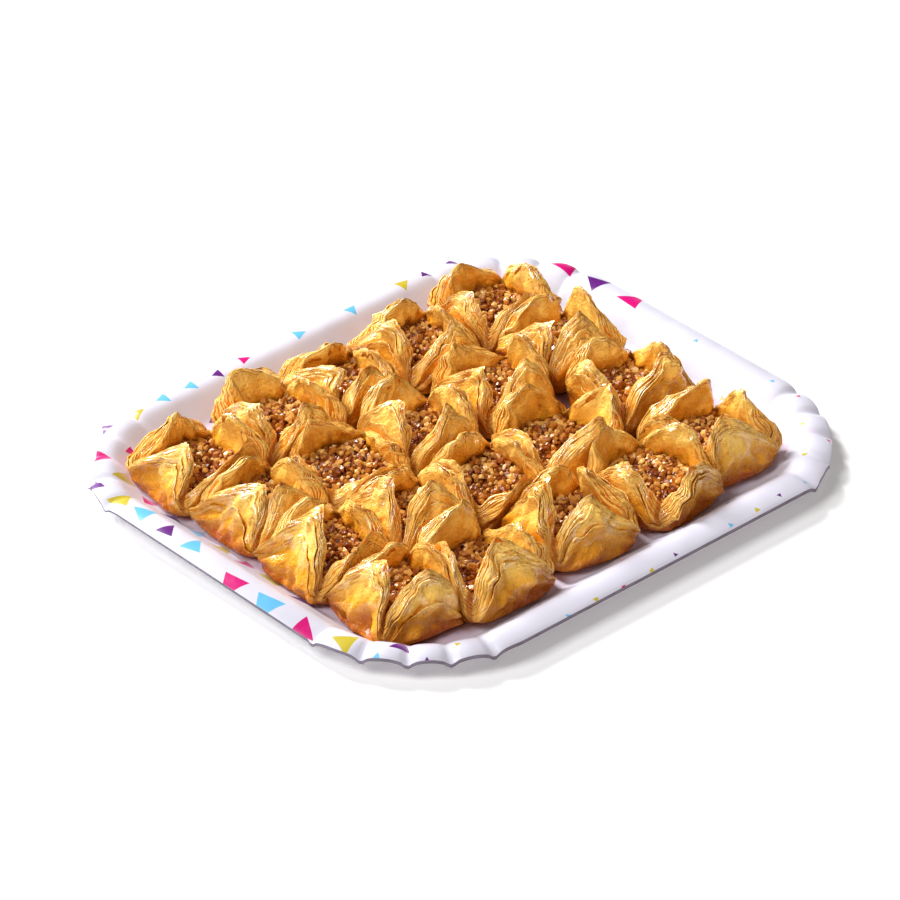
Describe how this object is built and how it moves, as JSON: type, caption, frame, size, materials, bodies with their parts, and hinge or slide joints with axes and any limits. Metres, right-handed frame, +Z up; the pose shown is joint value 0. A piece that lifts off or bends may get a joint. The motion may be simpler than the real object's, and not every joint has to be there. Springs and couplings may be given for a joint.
{
  "type": "plate of birds nest baklava",
  "caption": "Rectangular paperboard party plate with a fluted rim, filled with open square pastry nests that hold chopped nuts.",
  "frame": {"origin": "middle of the plate's flat underside, on the surface that it rests on", "axes": "+X along the plate's long side, +Y along its short side, +Z up"},
  "size_m": [0.281, 0.24, 0.0348],
  "materials": {
    "board": "white glossy coated paperboard with a confetti print, grey raw edge",
    "pastry": "thin golden baked pastry sheets, glazed with syrup",
    "nuts": "chopped roasted nuts, moist with syrup"
  },
  "bodies": {
    "root": {"plate": "board", "nest_01": "pastry", "nest_02": "pastry", "nest_03": "pastry", "nest_04": "pastry", "nest_05": "pastry", "nest_06": "pastry", "nest_07": "pastry", "nest_08": "pastry", "nest_09": "pastry", "nest_10": "pastry", "nest_11": "pastry", "nest_12": "pastry", "nest_13": "pastry", "nest_14": "pastry", "nest_15": "pastry", "nest_16": "pastry", "nest_17": "pastry", "nest_18": "pastry", "nest_19": "pastry", "nest_20": "pastry", "nuts_01": "nuts", "nuts_02": "nuts", "nuts_03": "nuts", "nuts_04": "nuts", "nuts_05": "nuts", "nuts_06": "nuts", "nuts_07": "nuts", "nuts_08": "nuts", "nuts_09": "nuts", "nuts_10": "nuts", "nuts_11": "nuts", "nuts_12": "nuts", "nuts_13": "nuts", "nuts_14": "nuts", "nuts_15": "nuts", "nuts_16": "nuts", "nuts_17": "nuts", "nuts_18": "nuts", "nuts_19": "nuts", "nuts_20": "nuts"}
  },
  "joints": []
}
